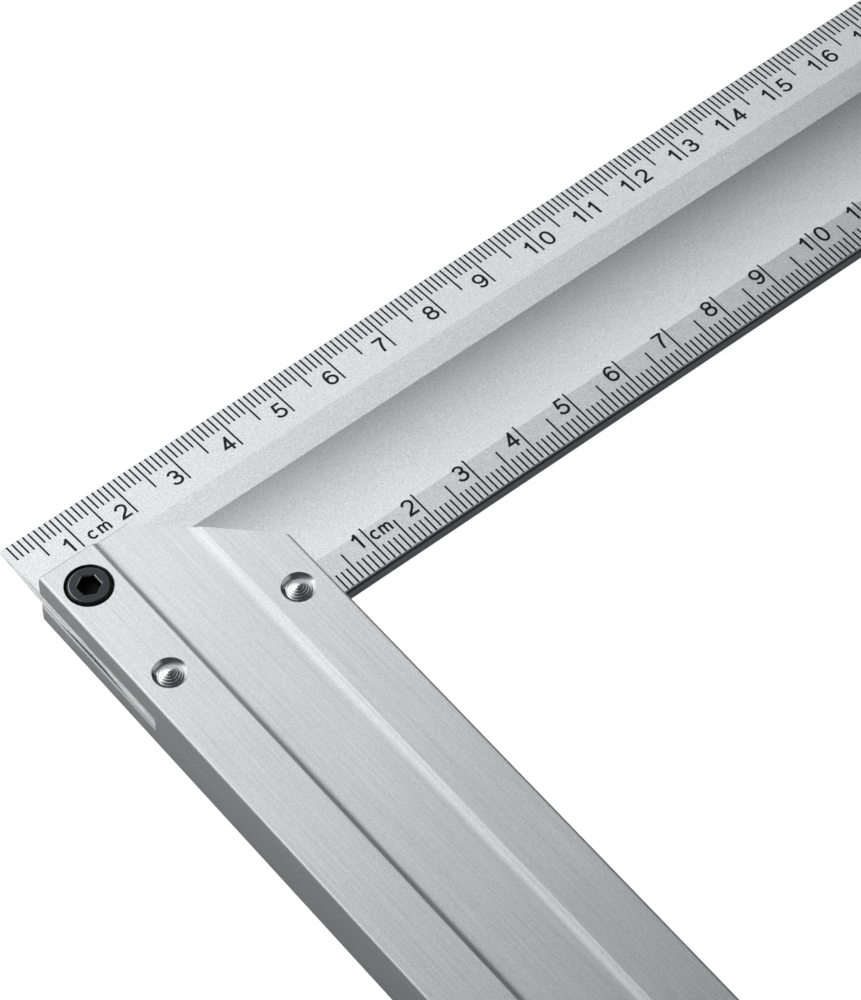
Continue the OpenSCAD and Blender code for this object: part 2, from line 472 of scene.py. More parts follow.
tree = new_tree("blade_from_a_rule", [
    ("Length", "Float"), ("Heel", "Float"), ("Width", "Float"), ("Half thickness", "Float"),
    ("Half edge", "Float"), ("Bevel width", "Float"), ("Hollow middle", "Float"),
    ("Hollow radius", "Float"), ("Hollow depth", "Float"), ("Edge break", "Float"),
    ("Strips", "Int"), ("Finish", "Material"),
])
given = add_node(tree, "NodeGroupInput").outputs
place = add_node(tree, "GeometryNodeInputPosition")
at = add_node(tree, "ShaderNodeSeparateXYZ", {0: place}).outputs

# A sum has a name, an operation and its terms. A term is a number, an input of the tree,
# a coordinate of the point or an earlier sum. The box is 2 high, so its Z is -1 or 1.
terms = {socket.name: socket for socket in [*given, *at]}
for result, operation, *values in (
    ("points", "ADD", "Strips", 1.0),
    ("middle x", "MULTIPLY_ADD", "Length", 0.5, "Heel"),
    ("middle y", "MULTIPLY", "Width", -0.5),
    ("across", "MULTIPLY", "Y", -1.0),
    ("rise", "SUBTRACT", "Half thickness", "Half edge"),
    ("share", "DIVIDE", "across", "Bevel width"),
    ("bevel", "MULTIPLY_ADD", "rise", "share", "Half edge"),
    ("flat", "MINIMUM", "bevel", "Half thickness"),
    ("from middle", "SUBTRACT", "across", "Hollow middle"),
    ("from middle squared", "POWER", "from middle", 2.0),
    ("radius squared", "POWER", "Hollow radius", 2.0),
    ("height squared", "SUBTRACT", "radius squared", "from middle squared"),
    ("above zero", "MAXIMUM", "height squared", 0.0),
    ("arc", "SQRT", "above zero"),
    ("chord", "SUBTRACT", "Hollow radius", "Hollow depth"),
    ("depth", "SUBTRACT", "arc", "chord"),
    ("sag", "MAXIMUM", "depth", 0.0),
    ("hollowed", "SUBTRACT", "flat", "sag"),
    ("to edge", "SUBTRACT", "Width", "across"),
    ("edge height", "SUBTRACT", "Half thickness", "Edge break"),
    ("broken edge", "ADD", "edge height", "to edge"),
    ("half", "MINIMUM", "hollowed", "broken edge"),
    ("new z", "MULTIPLY", "Z", "half"),
):
    sockets = {i: terms.get(value, value) for i, value in enumerate(values)}
    terms[result] = add_node(tree, "ShaderNodeMath", sockets, operation=operation)

size = add_node(tree, "ShaderNodeCombineXYZ", {0: given["Length"], 1: given["Width"], 2: 2.0})
block = add_node(tree, "GeometryNodeMeshCube", {
    "Size": size, "Vertices X": 2, "Vertices Y": terms["points"], "Vertices Z": 2,
})
middle = add_node(tree, "ShaderNodeCombineXYZ", {0: terms["middle x"], 1: terms["middle y"]})
moved = add_node(tree, "GeometryNodeTransform", {"Geometry": block, "Translation": middle})
shaped = add_node(tree, "ShaderNodeCombineXYZ", {0: at["X"], 1: at["Y"], 2: terms["new z"]})
laid = add_node(tree, "GeometryNodeSetPosition", {"Geometry": moved, "Position": shaped})
real = add_node(tree, "GeometryNodeRealizeInstances", {0: laid})
coated = add_node(tree, "GeometryNodeSetMaterial", {"Geometry": real, "Material": given["Finish"]})
add_node(tree, "NodeGroupOutput", {0: coated})

blade_finish = bpy.data.materials.new("satin_anodised_aluminium_plate")
blade = run_tree("blade_plate", tree, {
    "Length": BLADE_TIP - HEEL_INSET,
    "Heel": HEEL_INSET,
    "Width": BLADE_W,
    "Half thickness": BLADE_T / 2,
    "Half edge": EDGE_T / 2,
    "Bevel width": BEVEL_W,
    "Hollow middle": BEVEL_W + MIDDLE_BAND_W + HOLLOW_W / 2,
    "Hollow radius": HOLLOW_R,
    "Hollow depth": HOLLOW_DEPTH,
    "Edge break": EDGE_BREAK,
    "Strips": round(BLADE_W / STRIP),
    "Finish": blade_finish,
})
print("hollow radius", round(HOLLOW_R, 2), "mm, blade:", len(blade.data.polygons), "faces")

# %% [markdown]
# The plate's four corners are eased in plan, and the pins and the screw go through it.
# The face of the finished blade is kept as a search tree, so that the printed scales can
# be laid on it later by looking down from above.

# %% Trim and drill the blade, and keep its face for the printing
CORNER_EASE = 0.18
HIDDEN_CORNER_EASE = 0.15
LOOK_FROM = 10.0
SAMPLE_X = 100.0
SAMPLE_YS = (-5.25, -13.0, -23.9, -35.0)

outline = rounded_outline([
    (HEEL_INSET, 0, CORNER_EASE),
    (BLADE_TIP, 0, CORNER_EASE),
    (BLADE_TIP, -BLADE_W, CORNER_EASE),
    (HEEL_INSET, -BLADE_W, HIDDEN_CORNER_EASE),
])
combine(blade, prism("blade_outline", outline, -OVERRUN - BLADE_T, OVERRUN + BLADE_T), "INTERSECT")
drills = [((pin_x, PIN_Y), PIN_HOLE_R) for pin_x in PIN_XS]
for centre, radius in [*drills, (SCREW_PLACE, SHANK_HOLE_R)]:
    drill = [(0, -BLADE_T), (radius, -BLADE_T), (radius, BLADE_T), (0, BLADE_T)]
    combine(blade, turned("blade_drill", drill, centre))
blade_face = BVHTree.FromPolygons(
    [v.co[:] for v in blade.data.vertices],
    [p.vertices[:] for p in blade.data.polygons],
)


def face_height(x, y):
    """Height of the blade's face, found by looking down on it."""
    return blade_face.ray_cast(Vector((x, y, LOOK_FROM)), Vector((0, 0, -1)))[0].z


print("finished blade:", len(blade.data.polygons), "faces")
for y in SAMPLE_YS:
    print(f"height of the face at Y {y}: {face_height(SAMPLE_X, y):.3f} mm")

# %% [markdown]
# ## The pins: turned rod with a pointed end
#
# Each pin is a short rod that was turned to a point, and the tool left fine rings on the
# cone. Rings could be a bump in the material, but these are large enough to catch the
# light one by one, so they are in the shape: the cone's line has a narrow groove in every
# 0.45 mm. Below, the pin's end fills its countersink flush with the underside.

# %% Turn the two pins
CONE_RISE = 0.65
TIP_R = 0.15
SHOULDER_H = 0.12
SHOULDER_STEP = 0.03
FOOT_BREAK_W = 0.06
FOOT_GAP = 0.04
RING_PITCH = 0.45
RING_DEPTH = 0.034
RING_HALF_W = 0.17
RING_FADE = 8
CONE_STEPS = 120

cone_r = PIN_R - SHOULDER_STEP
cone_base = STOCK_TOP - SINK_DEPTH
cone_tip = STOCK_TOP + CONE_RISE
pin_profile = [
    (0, -STOCK_TOP),
    (SINK_R - FOOT_GAP - FOOT_BREAK_W, -STOCK_TOP),
    (SINK_R - FOOT_GAP, FOOT_BREAK_W - STOCK_TOP),
    (PIN_R, SINK_DEPTH - STOCK_TOP),
    (PIN_R, cone_base - SHOULDER_H),
    (cone_r, cone_base),
]
slope = Vector((cone_r - TIP_R, cone_tip - cone_base))
outwards = Vector((slope.y, slope.x)).normalized()
for step in range(1, CONE_STEPS + 1):
    share_up = step / CONE_STEPS
    radius = cone_r - slope.x * share_up
    height = cone_base + slope.y * share_up
    fade = min(1.0, (1 - share_up) * RING_FADE, share_up * RING_FADE)
    from_ring = abs(share_up * slope.length / RING_PITCH % 1.0 - 0.5)
    groove = -RING_DEPTH * fade * max(0.0, 1 - from_ring / RING_HALF_W)
    pin_profile.append((radius + outwards.x * groove, height + outwards.y * groove))
pin_profile.append((0, cone_tip))
pins = [turned(name, pin_profile, (x, PIN_Y)) for name, x in zip(("pin_outer", "pin_inner"), PIN_XS)]
print("each pin:", len(pins[0].data.polygons), "faces, point", CONE_RISE, "mm above the stock")

# %% [markdown]
# ## The socket screw
#
# It is a small cap screw of blackened steel with a hexagon socket. It is turned first, and
# its thread is cut in the same step: the radius below the head falls and rises once
# in every 0.7 mm, and a quarter of the pitch later at each quarter of a turn, which is
# what a screw thread is. Then the socket is cut, with a slightly wider mouth, because
# the edge of a real socket is broken and that edge shines.

# %% Turn the screw, cut its thread and its socket
SCREW_R = 2.0
THREAD_PITCH = 0.7
THREAD_DEPTH = 0.4
THREAD_TOP = -1.6
STEPS_PER_PITCH = 14
SCREW_TIP = -STOCK_TOP + 0.7
TIP_CHAMFER = 0.5
HEAD_CHAMFER = 0.5
HEAD_BREAK = 0.1
RIM_STEPS = 6
RIM_SWELL = 0.04
SOCKET_FLATS = 3.3
SOCKET_DEPTH = 1.8
MOUTH_BREAK = 0.16
PILOT_SHY = 0.001
PILOT_OVERLAP = 0.3


def thread_radius(radius, height, angle):
    """The radius with the thread's groove taken off, faded out at both of its ends."""
    if radius > SCREW_R or height > THREAD_TOP or height <= SCREW_TIP:
        return radius
    turn = ((height / THREAD_PITCH) - angle / (2 * math.pi)) % 1.0
    groove = THREAD_DEPTH * (1 - abs(2 * turn - 1))
    fade_out = min(1.0, (THREAD_TOP - height) / THREAD_PITCH)
    return min(radius, SCREW_R - groove * fade_out)


seat = HEAD_TOP - HEAD_H
screw_profile = [(0, SCREW_TIP), (SCREW_R - TIP_CHAMFER, SCREW_TIP)]
thread_steps = round((THREAD_TOP - SCREW_TIP) / (THREAD_PITCH / STEPS_PER_PITCH))
for step in range(1, thread_steps + 1):
    height = SCREW_TIP + (THREAD_TOP - SCREW_TIP) * step / thread_steps
    screw_profile.append((min(SCREW_R, SCREW_R - TIP_CHAMFER + height - SCREW_TIP), height))
screw_profile += [
    (SCREW_R, seat - HEAD_BREAK),
    (SCREW_R + HEAD_BREAK, seat),
    (HEAD_R - HEAD_BREAK, seat),
    (HEAD_R, seat + HEAD_BREAK),
]
for step in range(RIM_STEPS + 1):
    share_in = step / RIM_STEPS
    swell = RIM_SWELL * (1 - math.cos(2 * math.pi * share_in)) / 2
    screw_profile.append((
        HEAD_R - HEAD_CHAMFER * share_in + swell,
        HEAD_TOP - HEAD_CHAMFER * (1 - share_in) + swell,
    ))
screw_profile.append((0, HEAD_TOP))
screw = turned("cap_screw", screw_profile, SCREW_PLACE, cut_thread=thread_radius)


def hexagon(flats, z):
    """A ring of six points with its corners towards plus and minus Y."""
    radius = flats / 2 / math.cos(math.radians(30))
    turns = [math.radians(30 + 60 * k) for k in range(6)]
    x, y = SCREW_PLACE
    return [(x + radius * math.cos(a), y + radius * math.sin(a), z) for a in turns]


socket_floor = HEAD_TOP - SOCKET_DEPTH
combine(screw, loft("socket_cutter", [
    hexagon(SOCKET_FLATS, socket_floor),
    hexagon(SOCKET_FLATS, HEAD_TOP - MOUTH_BREAK),
    hexagon(SOCKET_FLATS + 2 * MOUTH_BREAK + 2 * OVERRUN, HEAD_TOP + OVERRUN),
]))
pilot_r = SOCKET_FLATS / 2 - PILOT_SHY
combine(screw, turned("pilot_cutter", [
    (0, socket_floor - SOCKET_FLATS / 2 * math.tan(math.radians(30))),
    (pilot_r, socket_floor),
    (pilot_r, socket_floor + PILOT_OVERLAP),
    (0, socket_floor + PILOT_OVERLAP),
], SCREW_PLACE))
print("screw:", len(screw.data.polygons), "faces, tip at", round(SCREW_TIP, 2), "mm")

# %% [markdown]
# ## The ink of the scales
#
# Both scales are printed on the blade in black ink: a line for every millimetre, a longer
# one for every fifth and the longest for every tenth. A printed line is a film of ink
# with a thickness, if a tiny one, so each is a thin closed strip that follows the
# blade's face and sits a hundredth of a millimetre proud of it. As an image texture
# the lines would blur when seen close, and as geometry they stay sharp.
#
# Lines at an even pitch are a job for instances. The tree puts one strip on every point
# of a line of points, chooses its length by counting, makes the copies real, and then
# drops each point of them onto the blade's face with a ray from above.

# %% Tree of the graduation lines
INK_PROUD = 0.012
INK_SUNK = 0.03

tree = new_tree("graduation_lines", [
    ("Count", "Int"), ("Pitch", "Float"), ("First", "Float"), ("Edge", "Float"),
    ("Way", "Float"), ("Short", "Float"), ("Middle", "Float"), ("Long", "Float"),
    ("Line width", "Float"), ("Cuts", "Int"), ("Proud", "Float"), ("Sunk", "Float"),
    ("Blade", "Object"), ("Ink", "Material"),
])
given = add_node(tree, "NodeGroupInput").outputs
first = add_node(tree, "ShaderNodeCombineXYZ", {0: given["First"], 1: given["Edge"]})
pitch = add_node(tree, "ShaderNodeCombineXYZ", {0: given["Pitch"]})
row = add_node(tree, "GeometryNodeMeshLine", {
    "Count": given["Count"], "Start Location": first, "Offset": pitch,
}, mode="OFFSET")
index = add_node(tree, "GeometryNodeInputIndex")
number = add_node(tree, "ShaderNodeMath", {0: index, 1: 1.0}, operation="ADD")
length = given["Short"]
for every, longer in ((5.0, given["Middle"]), (10.0, given["Long"])):
    rest = add_node(tree, "ShaderNodeMath", {0: number, 1: every}, operation="MODULO")
    counted = add_node(tree, "ShaderNodeMath", {0: rest, 1: 0.5}, operation="LESS_THAN")
    length = add_node(tree, "ShaderNodeMix", {0: counted, 2: length, 3: longer}, data_type="FLOAT")
backwards = add_node(tree, "ShaderNodeMath", {0: given["Way"], 1: 0.0}, operation="MINIMUM")
step_back = add_node(tree, "ShaderNodeMath", {0: backwards, 1: length}, operation="MULTIPLY")
back = add_node(tree, "ShaderNodeCombineXYZ", {1: step_back})
feet = add_node(tree, "GeometryNodeSetPosition", {"Geometry": row, "Offset": back})

strip = add_node(tree, "GeometryNodeMeshCube", {
    "Size": (1.0, 1.0, 1.0), "Vertices X": 2, "Vertices Y": given["Cuts"], "Vertices Z": 2,
})
from_foot = add_node(tree, "GeometryNodeTransform", {
    "Geometry": strip, "Translation": (0.0, 0.5, 0.0),
})
film_size = add_node(tree, "ShaderNodeCombineXYZ", {0: given["Line width"], 1: length, 2: 1.0})
copies = add_node(tree, "GeometryNodeInstanceOnPoints", {
    "Points": feet, "Instance": from_foot, "Scale": film_size,
})
real = add_node(tree, "GeometryNodeRealizeInstances", {0: copies})

place = add_node(tree, "GeometryNodeInputPosition")
at = add_node(tree, "ShaderNodeSeparateXYZ", {0: place}).outputs
blade_info = add_node(tree, "GeometryNodeObjectInfo", {"Object": given["Blade"]})
above = add_node(tree, "ShaderNodeCombineXYZ", {0: at["X"], 1: at["Y"], 2: LOOK_FROM})
ray = add_node(tree, "GeometryNodeRaycast", {
    "Target Geometry": blade_info.outputs["Geometry"],
    "Source Position": above,
    "Ray Direction": (0.0, 0.0, -1.0),
    "Ray Length": 2 * LOOK_FROM,
})
hit = add_node(tree, "ShaderNodeSeparateXYZ", {0: ray.outputs["Hit Position"]}).outputs
is_top = add_node(tree, "ShaderNodeMath", {0: at["Z"], 1: 0.0}, operation="GREATER_THAN")
sunk = add_node(tree, "ShaderNodeMath", {0: given["Sunk"], 1: -1.0}, operation="MULTIPLY")
film = add_node(tree, "ShaderNodeMix", {0: is_top, 2: sunk, 3: given["Proud"]}, data_type="FLOAT")
film_z = add_node(tree, "ShaderNodeMath", {0: hit["Z"], 1: film}, operation="ADD")
on_face = add_node(tree, "ShaderNodeCombineXYZ", {0: at["X"], 1: at["Y"], 2: film_z})
laid = add_node(tree, "GeometryNodeSetPosition", {"Geometry": real, "Position": on_face})
inked = add_node(tree, "GeometryNodeSetMaterial", {"Geometry": laid, "Material": given["Ink"]})
add_node(tree, "NodeGroupOutput", {0: inked})
print("graduation tree:", len(tree.nodes), "nodes")

# %% [markdown]
# The outer scale starts at the square's outer corner and the inner one at the corner
# between the stock and the blade, so each counts its own centimetres. On the inner scale
# the long lines run a little way into the hollow, so their strips have more cuts.

# %% Print the lines of both scales
ink = bpy.data.materials.new("black_scale_ink")
OUTER_ZERO = 0.5
INNER_ZERO = STOCK_W + 0.29
LINE_WIDTH = 0.3
EDGE_MARGIN = 0.1
SHORT_LINE = 3.2
MIDDLE_LINE = 5.7
OUTER_LONG_LINE = 7.86
INNER_LONG_LINE = 7.81
OUTER_COUNT = 298
INNER_COUNT = 264

lines = []
for name, zero, count, edge, way, long_line, cuts in (
    ("outer_scale_lines", OUTER_ZERO, OUTER_COUNT, -EDGE_MARGIN, -1.0, OUTER_LONG_LINE, 2),
    ("inner_scale_lines", INNER_ZERO, INNER_COUNT, EDGE_MARGIN - BLADE_W, 1.0, INNER_LONG_LINE, 12),
):
    piece = run_tree(name, tree, {
        "Count": count, "Pitch": 1.0, "First": zero + 1.0, "Edge": edge, "Way": way,
        "Short": SHORT_LINE, "Middle": MIDDLE_LINE, "Long": long_line,
        "Line width": LINE_WIDTH, "Cuts": cuts, "Proud": INK_PROUD, "Sunk": INK_SUNK,
        "Blade": blade, "Ink": ink,
    })
    lines.append(piece)
    print(name, ":", count, "lines,", len(piece.data.polygons), "faces")

# %% [markdown]
# ## The numbers: strokes of one width
#
# The numbers are plain sans-serif figures of even stroke, with a "cm" beside the first
# one. A text object would bring a font's own shapes. These figures are simple enough
# to be drawn as paths, and a ribbon of constant width is laid along each path, which is how
# an engraver's or plotter's figure is made. Where a figure has two strokes, they are
# joined into one closed solid.

# %% Paths of the figures, in mm for a figure 3.05 mm tall
STROKE = 0.43
SMALL_STROKE = 0.38
MITRE_LIMIT = 0.35
LOOP_POINTS = 20


def oval(cx, cy, rx, ry, start, stop, steps, fullness=2.0):
    """Points along an oval from one angle to another, in degrees. More fullness squares it."""
    points = []
    for k in range(steps + 1):
        angle = math.radians(start + (stop - start) * k / steps)
        c, s = math.cos(angle), math.sin(angle)
        x = math.copysign(abs(c) ** (2 / fullness), c)
        y = math.copysign(abs(s) ** (2 / fullness), s)
        points.append((cx + rx * x, cy + ry * y))
    return points


FIGURES = {
    "0": [oval(1.05, 1.525, 0.80, 1.37, 0, 360, 40, 2.25)[:-1]],
    "1": [[(1.19, 0.0), (1.19, 3.05)], [(0.38, 2.14), (0.68, 2.31), (0.94, 2.54), (1.13, 2.86)]],
    "2": [oval(1.06, 2.12, 0.77, 0.76, 172, -28, 24) + [
        (1.52, 1.42), (1.12, 1.05), (0.74, 0.72), (0.47, 0.44), (0.36, 0.21), (1.97, 0.21)]],
    "3": [oval(1.02, 2.21, 0.70, 0.67, 163, -90, 22) + [(0.76, 1.54)],
          [(0.9, 1.66)] + oval(1.03, 0.94, 0.83, 0.77, 90, -166, 24)],
    "4": [[(1.47, 0.0), (1.47, 3.05)],
          [(2.13, 0.86), (0.30, 0.86), (1.40, 2.66)]],
    "5": [[(1.90, 2.87), (0.66, 2.87), (0.41, 1.36)],
          oval(1.02, 0.98, 0.84, 0.81, 138, -166, 26)],
    "6": [oval(1.07, 1.0, 0.80, 0.83, 0, 360, 32)[:-1],
          oval(1.12, 1.66, 0.86, 1.21, 38, 180, 18) + [(0.27, 1.1)]],
    "7": [[(0.15, 2.84), (1.70, 2.84), (1.79, 2.72), (1.48, 2.30),
           (1.20, 1.76), (0.98, 1.16), (0.86, 0.55), (0.83, 0.0)]],
    "8": [oval(1.05, 2.24, 0.69, 0.64, 0, 360, 28)[:-1], oval(1.05, 0.93, 0.82, 0.76, 0, 360, 32)[:-1]],
    "9": [oval(1.03, 2.05, 0.80, 0.83, 0, 360, 32)[:-1],
          oval(0.98, 1.39, 0.86, 1.21, -142, 0, 18) + [(1.83, 1.95)]],
    "c": [oval(0.78, 0.90, 0.58, 0.75, 42, 318, 24)],
    "m": [[(0.15, 0.0), (0.15, 1.72)],
          [(0.15, 0.98)] + oval(0.56, 1.12, 0.40, 0.46, 175, 0, 14) + [(0.96, 0.0)],
          [(0.96, 0.98)] + oval(1.37, 1.12, 0.41, 0.46, 175, 0, 14) + [(1.78, 0.0)]],
}


def ribbon(name, path, width):
    """A closed strip of even width along a path, 1 mm thick until it is laid on the blade."""
    is_loop = math.dist(path[0], path[-1]) < width and len(path) > LOOP_POINTS
    points = [Vector(p) for p in path]
    rings = []
    for i, here in enumerate(points):
        before = points[i - 1] if i or is_loop else here
        after = points[(i + 1) % len(points)] if i + 1 < len(points) or is_loop else here
        into = (here - before).normalized() if before != here else (after - here).normalized()
        out = (after - here).normalized() if after != here else into
        side = Vector((-into.y - out.y, into.x + out.x)).normalized()
        square_on = Vector((-into.y, into.x))
        side *= width / 2 / max(MITRE_LIMIT, side.dot(square_on))
        corners = [here + side, here - side]
        rings.append([(*corners[0], 0.5), (*corners[1], 0.5), (*corners[1], -0.5), (*corners[0], -0.5)])
    verts = [v for ring in rings for v in ring]
    last = len(rings) if is_loop else len(rings) - 1
    faces = []
    for i in range(last):
        a, b = 4 * i, 4 * ((i + 1) % len(rings))
        faces += [(a + k, a + (k + 1) % 4, b + (k + 1) % 4, b + k) for k in range(4)]
    if not is_loop:
        end = 4 * (len(rings) - 1)
        faces += [(0, 1, 2, 3), (end, end + 1, end + 2, end + 3)]
    return new_mesh_object(name, verts, faces)


def figure_mesh(character):
    """One figure as one closed solid, standing on the line y = 0."""
    width = SMALL_STROKE if character in "cm" else STROKE
    strokes = [ribbon("stroke", path, width) for path in FIGURES[character]]
    for extra in strokes[1:]:
        combine(strokes[0], extra, "UNION")
    mesh = strokes[0].data.copy()
    bpy.data.objects.remove(strokes[0])
    return mesh


figure_meshes = {character: figure_mesh(character) for character in FIGURES}
figure_sides = {}
for character, mesh in figure_meshes.items():
    xs = [v.co.x for v in mesh.vertices]
    figure_sides[character] = (min(xs), max(xs))
    print(character, len(mesh.polygons), "faces, x from", round(min(xs), 2), "to", round(max(xs), 2))

# %% [markdown]
# A one-figure number ends just before its long line. A two-figure number straddles the
# line. Every point of a figure is dropped onto the blade's face in the same way as the
# lines are, after a cut along the hollow's edge, so that the ink bends there with it.

# %% Print the numbers and the unit
GAP_BEFORE_LINE = 0.67
GAP_OF_SINGLE_ONE = 1.2
GAP_OF_TENS = 1.0
GAP_AFTER_LINE = 0.98
OUTER_BASELINE = -7.78
INNER_BASELINE = -34.98
OUTER_UNIT_XS = (11.54, 13.52)
INNER_UNIT_XS = (10.5, 12.27)
HOLLOW_EDGE = -(BLADE_W - INNER_BAND_W)
BEND_W = 0.2


def print_figures(name, placed):
    """One piece of ink from (character, left x, baseline y) entries, laid on the blade."""
    ink_mesh = bmesh.new()
    for character, left, baseline in placed:
        glyph = figure_meshes[character].copy()
        glyph.transform(Matrix.Translation((left, baseline, 0)))
        ink_mesh.from_mesh(glyph)
        bpy.data.meshes.remove(glyph)
    for cut in (HOLLOW_EDGE, HOLLOW_EDGE + BEND_W):
        everything = ink_mesh.verts[:] + ink_mesh.edges[:] + ink_mesh.faces[:]
        bmesh.ops.bisect_plane(ink_mesh, geom=everything, plane_co=(0, cut, 0), plane_no=(0, 1, 0))
    for vert in ink_mesh.verts:
        lift = INK_PROUD if vert.co.z > 0 else -INK_SUNK
        vert.co.z = face_height(vert.co.x, vert.co.y) + lift
    mesh = bpy.data.meshes.new(name)
    ink_mesh.to_mesh(mesh)
    ink_mesh.free()
    mesh.materials.append(ink)
    return new_object(name, mesh)


def number_entries(zero, count, baseline):
    """Where the figures of one scale go, as (character, left x, baseline)."""
    entries = []
    for centimetre in range(1, count // 10 + 1):
        line_x = zero + 10 * centimetre
        text = str(centimetre)
        gap = GAP_BEFORE_LINE if len(text) == 1 else GAP_OF_TENS
        gap = GAP_OF_SINGLE_ONE if text == "1" else gap
        entries.append((text[0], line_x - gap - figure_sides[text[0]][1], baseline))
        if len(text) == 2:
            entries.append((text[1], line_x + GAP_AFTER_LINE - figure_sides[text[1]][0], baseline))
    return entries


scales = (
    ("outer", OUTER_ZERO, OUTER_COUNT, OUTER_BASELINE, OUTER_UNIT_XS),
    ("inner", INNER_ZERO, INNER_COUNT, INNER_BASELINE, INNER_UNIT_XS),
)
figures = [
    print_figures(side + "_scale_numbers", number_entries(zero, count, baseline))
    for side, zero, count, baseline, unit_xs in scales
]
figures += [
    print_figures(side + "_scale_unit", [(letter, zero + x, baseline) for letter, x in zip("cm", unit_xs)])
    for side, zero, count, baseline, unit_xs in scales
]
for piece in figures:
    print(piece.name, ":", len(piece.data.polygons), "faces")

# %% [markdown]
# ## Satin anodised aluminium
#
# The stock and the blade are aluminium that was etched matt and anodised clear. That
# gives a pale grey metal with a broad, soft reflection and a very fine sandy grain. The
# bar also keeps faint lines along its length from the extrusion die and the brushing. The
# finish is built from a metallic shader, a fine noise for the grain and, on the
# stock, a noise stretched along the bar for the lines. Both become a relief of a few
# hundredths of a millimetre or less and a change of colour. The real grain is about
# 0.02 mm, far below a pixel of this view, so it is drawn at 0.25 mm and with more
# contrast, as coarse as it needs to be to show. Object coordinates are in metres, so a
# Mapping node turns them to millimetres first.

# %% Finishes of the metal parts
SATIN_ROUGHNESS = 0.45
ROUGHNESS_SPREAD = 0.012
GRAIN_RELIEF = 0.02
LINE_RELIEF = 0.0016


def empty_tree(owner):
    """The node tree of a material or a world, with nothing in it."""
    owner.use_nodes = True
    owner.node_tree.nodes.clear()
    return owner.node_tree


def tree_in_mm(material):
    """The material's tree, emptied, and Object coordinates in mm for its patterns."""
    tree = empty_tree(material)
    where = add_node(tree, "ShaderNodeTexCoord").outputs["Object"]
    in_mm = add_node(tree, "ShaderNodeMapping", {"Vector": where, "Scale": (1 / MM, 1 / MM, 1 / MM)})
    return tree, in_mm


def use_shader(tree, sockets):
    """Ends the material's tree with a shader of these values and links."""
    shader = add_node(tree, "ShaderNodeBsdfPrincipled", sockets)
    add_node(tree, "ShaderNodeOutputMaterial", {"Surface": shader})


def satin_aluminium(material, pale, dull, grain_mm, line_stretch, line_strength):
    """Matt anodised aluminium with a sandy grain and, if asked for, lines along Y."""
    tree, in_mm = tree_in_mm(material)
    along = add_node(tree, "ShaderNodeMapping", {"Vector": in_mm, "Scale": (1.0, line_stretch, 1.0)})
    grain = add_node(tree, "ShaderNodeTexNoise", {
        "Vector": in_mm, "Scale": 1 / grain_mm, "Detail": 3.0, "Roughness": 0.6,
    })
    drawn = add_node(tree, "ShaderNodeTexNoise", {
        "Vector": along, "Scale": 2.2, "Detail": 4.0, "Roughness": 0.65,
    })
    cloud = add_node(tree, "ShaderNodeTexNoise", {
        "Vector": in_mm, "Scale": 0.06, "Detail": 2.0, "Roughness": 0.5,
    })
    mixed = add_node(tree, "ShaderNodeMix", {0: line_strength, 2: grain, 3: drawn}, data_type="FLOAT")
    clear = add_node(tree, "ShaderNodeMapRange", {"Value": mixed, "From Min": 0.29, "From Max": 0.71})
    tint = add_node(tree, "ShaderNodeMix", {0: clear, 6: linear(dull), 7: linear(pale)}, data_type="RGBA")
    rough = add_node(tree, "ShaderNodeMapRange", {
        "Value": cloud, "From Min": 0.3, "From Max": 0.7,
        "To Min": SATIN_ROUGHNESS - ROUGHNESS_SPREAD, "To Max": SATIN_ROUGHNESS + ROUGHNESS_SPREAD,
    })
    grain_relief = add_node(tree, "ShaderNodeBump", {"Height": grain, "Distance": GRAIN_RELIEF * MM})
    line_relief = add_node(tree, "ShaderNodeBump", {
        "Height": drawn, "Distance": LINE_RELIEF * line_strength * MM, "Normal": grain_relief,
    })
    use_shader(tree, {
        "Metallic": 1.0, "Base Color": tint.outputs[2], "Roughness": rough, "Normal": line_relief,
    })


stock_finish = bpy.data.materials.new("satin_anodised_aluminium_bar")
satin_aluminium(
    stock_finish, pale="#EFF1F2", dull="#C6C8CA", grain_mm=0.25, line_stretch=0.02, line_strength=0.4)
satin_aluminium(
    blade_finish, pale="#EBEDEE", dull="#C4C6C8", grain_mm=0.24, line_stretch=1.0, line_strength=0.0)
print("satin finishes:", stock_finish.name, "and", blade_finish.name)

# %% [markdown]
# ## Freshly cut aluminium
#
# The blade's heel, the slot, the saw cuts and the holes were made after the bar and the
# plate were finished. A cutter leaves bare metal with straight marks, so this finish is
# rough, with marks stretched along the cut. Their tone is darker between the ridges, which
# is painted shade in the grooves. The real marks are some 0.2 mm apart, and are drawn at
# 0.6 mm so that they show. The milled heel is the brightest, because its ridges tip much
# of the surface up to the light. They are too fine to model one by one, so the shader's
# normal is tipped up instead, and the heel's paler tones are painted light on top of that.
# The sawn faces take a darker copy, which is painted shade in the slot and along the
# stock's end, and the drilled copy is darker still: painted shade on the countersink walls
# that face away from the light.

# %% Bare milled, sawn and drilled aluminium
MARK_RELIEF = 0.03


